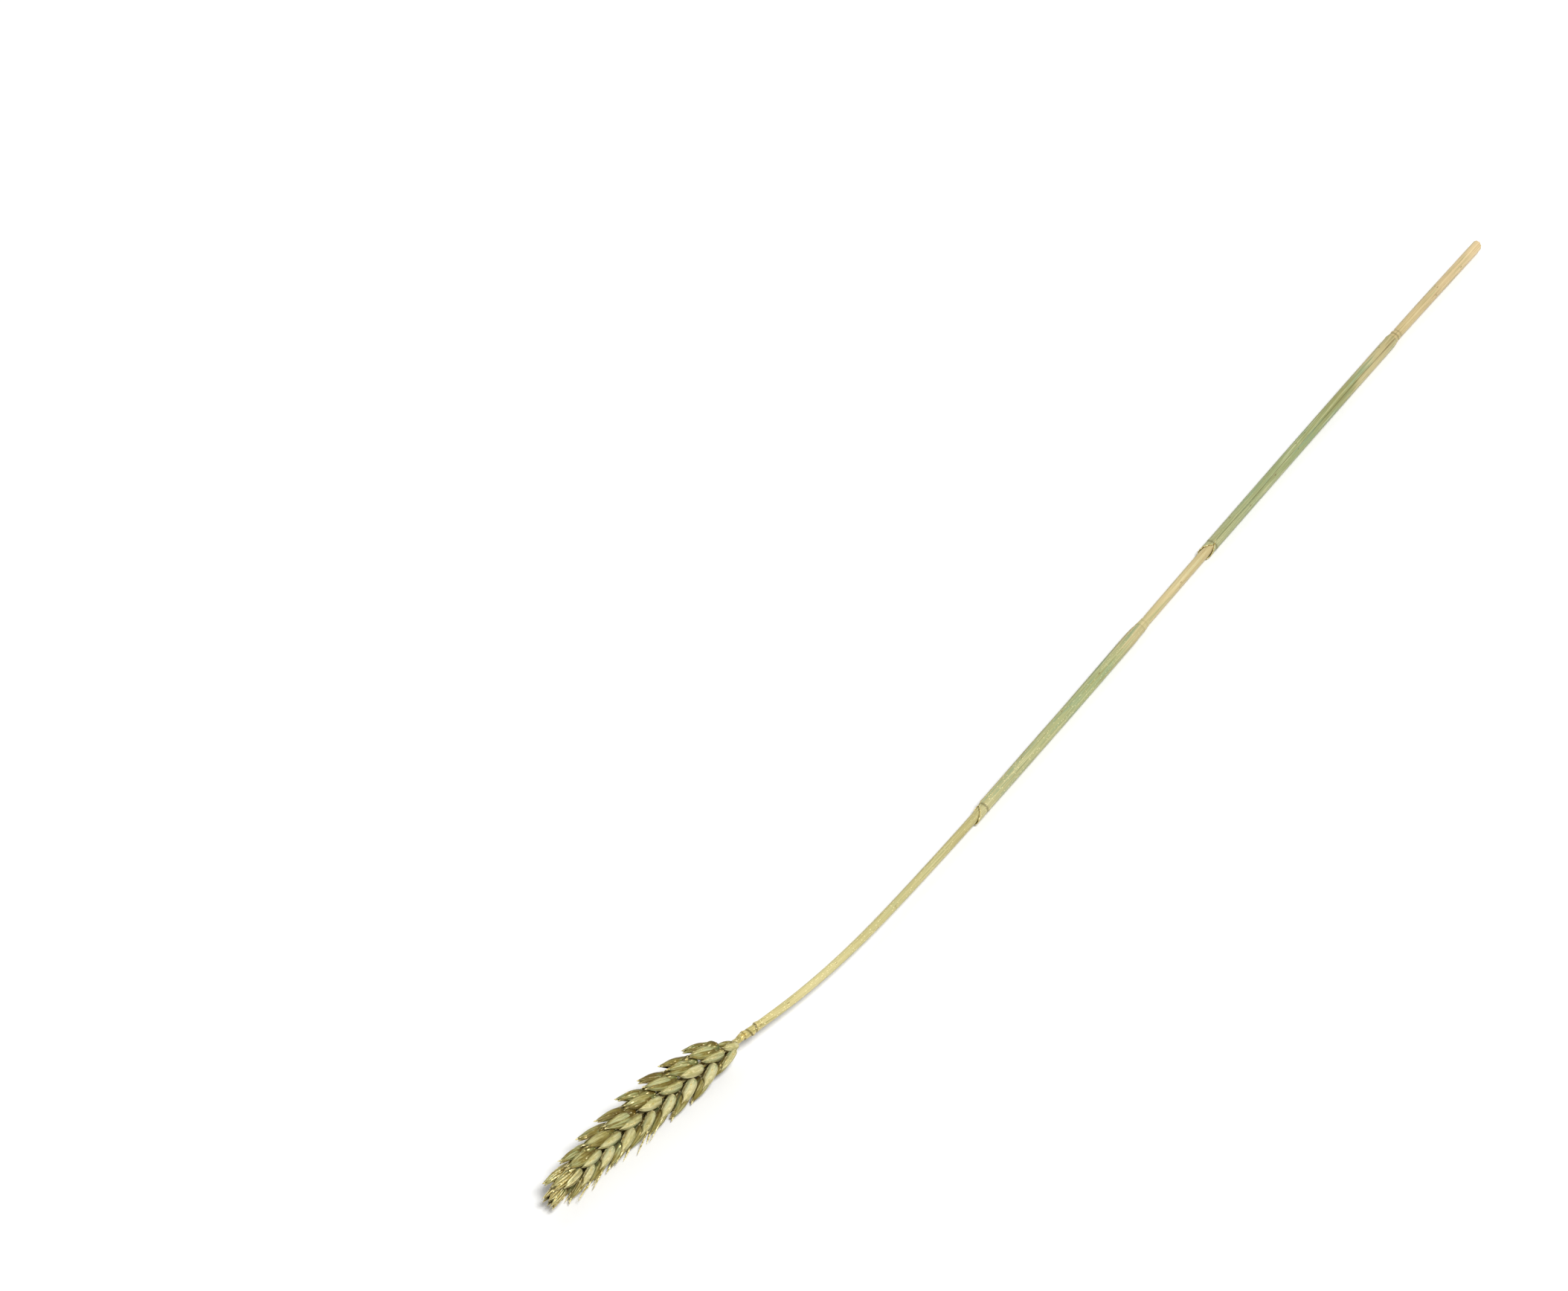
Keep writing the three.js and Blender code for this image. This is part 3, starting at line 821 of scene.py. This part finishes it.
def straw_material():
    """The straw from the cut end to the neck, with more glitter and painted glints towards the ear."""
    stops = [
        (0.0, srgb(218, 192, 146)), (0.05, srgb(200, 178, 134)), (0.1, srgb(198, 178, 130)),
        (0.135, srgb(190, 172, 122)), (0.36, srgb(190, 172, 122)), (0.42, srgb(204, 186, 138)),
        (0.5, srgb(178, 176, 122)), (0.64, srgb(184, 174, 118)), (0.75, srgb(196, 186, 128)),
        (0.8, srgb(212, 200, 142)), (0.835, srgb(204, 190, 128)), (0.85, srgb(176, 160, 90)),
    ]
    glitter_and_glints = [(0.6, grey(0.1)), (0.72, grey(0.6)), (0.85, grey(1.0))]
    return stalk_material("gilded_straw", stops, STRAW_DYE, 0.45, glitter_and_glints)


def leaf_material():
    """The two sheaths: green above each joint and tan at their ends."""
    stops = [
        (0.12, srgb(192, 178, 130)), (0.165, srgb(188, 176, 128)), (0.185, srgb(152, 152, 98)),
        (0.25, srgb(148, 158, 108)), (0.34, srgb(158, 164, 118)), (0.45, srgb(190, 176, 128)),
        (0.5, srgb(162, 170, 118)), (0.6, srgb(176, 174, 124)), (0.64, srgb(190, 182, 130)),
    ]
    glitter_and_glints = [(0.2, grey(0.0)), (0.5, grey(0.25)), (0.64, grey(0.6))]
    return stalk_material("dry_leaf", stops, LEAF_DYE, 0.7, glitter_and_glints)


def husk_material():
    """Papery husks: sage to beige faces, green dye in places, painted shade at their feet and where tucked
    in, gilding on edges, keels and tips, and painted glints.
    """
    n = Nodes("gilded_husk")
    grain = n.field("grain", vector=True)
    edge, rise, tone = n.field("edge"), n.field("rise"), n.field("tone")
    broad = n.noise(n.stretch(grain, 0.16, 0.3), detail=2)
    mist = n.noise(n.stretch(grain, 0.9, 1.5), detail=5, roughness=0.7)
    veins = n.noise(n.stretch(grain, 0.12, 3.6), detail=4)
    bright = n.math("ADD", n.math("MULTIPLY", tone, 0.75), n.span(broad, 0.3, 0.7, -0.1, 0.35), clamp=True)
    colour = n.ramp(bright, [
        (0.0, srgb(92, 78, 24)), (0.35, srgb(144, 132, 64)), (0.65, srgb(186, 180, 120)),
        (1.0, srgb(222, 213, 164)),
    ])
    colour = n.mix(n.span(broad, 0.47, 0.7, 0.0, 0.55), colour, HUSK_DYE)
    at_tip = n.span(n.field("stalk"), 0.955, 0.985)
    vein = n.math("ADD", n.math("MULTIPLY", n.field("vein"), 0.45), veins)
    striped = n.math("MAXIMUM", n.span(tone, 0.85, 0.45, 0.15, 0.7), at_tip)
    # Dark between the veins: partly the husks' own striping, partly painted shade in the grooves.
    colour = n.mix(n.math("MULTIPLY", n.span(vein, 0.66, 0.9), striped), colour, GROOVE_SHADE_AND_STRIPE)
    streaks = n.noise(n.stretch(grain, 0.3, 4.6), detail=5, roughness=0.75)
    colour = n.mix(n.span(streaks, 0.48, 0.36, 0.0, 0.55), colour, DARK_STREAK)
    colour = n.mix(n.span(streaks, 0.54, 0.66, 0.0, 0.4), colour, PALE_STREAK)
    # Painted shade where a husk is tucked in: at its margins, near the rachis, at its foot and under its
    # neighbours.
    dark = n.mix(n.span(broad, 0.44, 0.6), PAINTED_SHADE_BROWN, PAINTED_SHADE_GREEN)
    rim = n.math("MULTIPLY", n.field("rim"), n.span(mist, 0.35, 0.6, 0.95, 0.6))
    covered = n.math("MULTIPLY", n.span(rise, 0.55, 0.12, 0.0, 0.85), n.span(tone, 0.7, 0.5))
    sunk = n.math("MAXIMUM", n.span(n.field("out"), 4.4, 2.0, 0.0, 0.9), n.span(rise, 0.2, 0.0, 0.0, 0.6))
    sunk = n.math("MAXIMUM", sunk, covered)
    colour = n.mix(n.math("MAXIMUM", rim, sunk), colour, dark)
    # Gilding on edges and keels, on veins and over the spikelet at the tip, and painted glints in flecks and
    # at feet.
    gilt_and_glint = n.math("MULTIPLY", edge, n.span(mist, 0.4, 0.54, 0.1, 1.0))
    # Gold on the vein ridges: partly gilding, partly a painted highlight.
    ridges = n.math("MULTIPLY", n.span(vein, 0.5, 0.34), striped)
    gilt_and_glint = n.math("MAXIMUM", gilt_and_glint, n.math("MULTIPLY", ridges, n.span(mist, 0.48, 0.6)))
    gilt_and_glint = n.math("MAXIMUM", gilt_and_glint, n.flecks(n.stretch(grain, 0.75, 1.9), 0.16))
    foot = n.math("MULTIPLY", n.span(rise, 0.1, 0.04), n.span(mist, 0.42, 0.52))
    gilt_and_glint = n.math("MAXIMUM", gilt_and_glint, foot)
    gilt_and_glint = n.math("MAXIMUM", gilt_and_glint, n.math("MULTIPLY", at_tip, n.span(vein, 0.8, 0.55, 0.0, 1.0)))
    colour = n.mix(gilt_and_glint, colour, n.mix(n.span(mist, 0.42, 0.56), DEEP_GOLD, PAINTED_GLINT_GOLD))
    metallic = n.math("MULTIPLY", gilt_and_glint, 0.3)
    roughness = n.span(gilt_and_glint, 0.0, 1.0, 0.5, 0.25)
    return n.finish(colour, roughness, metallic, HUSK_SPECULAR, veins, 0.15)


def floor_material():
    """A plain pale surface."""
    n = Nodes("pale_floor")
    position = n.add("ShaderNodeTexCoord", {}, "Object")
    soft = n.noise(n.stretch(position, 3.0, 3.0), detail=2)
    colour = n.mix(soft, srgb(242, 242, 242), srgb(245, 245, 245))
    return n.finish(colour, n.span(soft, 0.2, 0.8, 0.75, 0.85), 0.0, FLOOR_SPECULAR, soft, 0.05)


# ---- Stage ------------------------------------------------------------------------------------------
VIEW_AZIMUTH, VIEW_ELEVATION = math.radians(-55.3), math.radians(45)
VIEW_DISTANCE = 1.211
VIEW_LENS, SENSOR_WIDTH = 76.85, 36  # in millimetres
AIM = Vector((-0.0510, 0.0910, 0.0))
FLOOR_HALF = 20.0
WORLD_COLOUR, WORLD_STRENGTH = (1, 0.995, 0.985, 1), 0.3


def camera():
    """The view that the stalk was photographed from: down at 45 degrees, from beyond the ear."""
    data = bpy.data.cameras.new("camera")
    data.lens = VIEW_LENS
    data.sensor_width = SENSOR_WIDTH
    made = bpy.data.objects.new("camera", data)
    bpy.context.scene.collection.objects.link(made)
    level = math.cos(VIEW_ELEVATION)
    back = Vector((math.sin(VIEW_AZIMUTH) * level, -math.cos(VIEW_AZIMUTH) * level, math.sin(VIEW_ELEVATION)))
    made.rotation_mode = "QUATERNION"
    made.location = AIM + back * VIEW_DISTANCE
    made.rotation_quaternion = (-back).to_track_quat("-Z", "Y")
    bpy.context.scene.camera = made


def floor():
    data = bpy.data.meshes.new("floor")
    corners = [(FLOOR_HALF * x, FLOOR_HALF * y, 0) for x, y in ((-1, -1), (1, -1), (1, 1), (-1, 1))]
    data.from_pydata(corners, [], [(0, 1, 2, 3)])
    data.materials.append(floor_material())
    made = bpy.data.objects.new("floor", data)
    bpy.context.scene.collection.objects.link(made)


def soft_light(name, towards, strength, spread):
    """A wide, distant light, which shines evenly over the whole floor."""
    data = bpy.data.lights.new(name, "SUN")
    data.energy, data.angle = strength, math.radians(spread)
    made = bpy.data.objects.new(name, data)
    made.location = towards
    made.rotation_mode = "QUATERNION"
    made.rotation_quaternion = (-Vector(towards)).to_track_quat("-Z", "Y")
    bpy.context.scene.collection.objects.link(made)


def lights():
    world = bpy.data.worlds.new("studio")
    bpy.context.scene.world = world
    world.use_nodes = True
    background = world.node_tree.nodes["Background"]
    background.inputs["Color"].default_value = WORLD_COLOUR
    background.inputs["Strength"].default_value = WORLD_STRENGTH
    soft_light("key", (0.0, -0.5, 1.2), strength=2.75, spread=24)
    soft_light("back", (0.6, 0.9, 0.8), strength=0.5, spread=40)


def look():
    """Plain display colours, so that the white studio stays white."""
    bpy.context.scene.view_settings.view_transform = "Standard"


# ---- The object -------------------------------------------------------------------------------------
# Rows and columns of a husk's grid.
HUSK_GRID, QUICK_HUSK_GRID = (24, 22), (14, 12)


def build():
    straw, leaf, husks = straw_material(), leaf_material(), husk_material()
    make_piece("stem", stem_part(), straw, "culm_and_rachis")
    lower = sheath_part(LOWER_NODE + 1.6, LOWER_COLLAR, slit=0.9, seed=3)
    make_piece("lower_sheath", lower, leaf, "lower_leaf_sheath")
    flag = sheath_part(UPPER_NODE + 1.8, UPPER_COLLAR, slit=2.4, seed=8)
    make_piece("flag_sheath", flag, leaf, "flag_leaf_sheath")
    detail = HUSK_GRID
    for i in range(SPIKELETS + 1):
        node = "spikelet_terminal" if i == SPIKELETS else f"spikelet_{i + 1:02d}"
        make_piece(node.replace("spikelet", "husks"), spikelet_part(i, detail), husks, node)


build()
floor()
lights()
camera()
look()
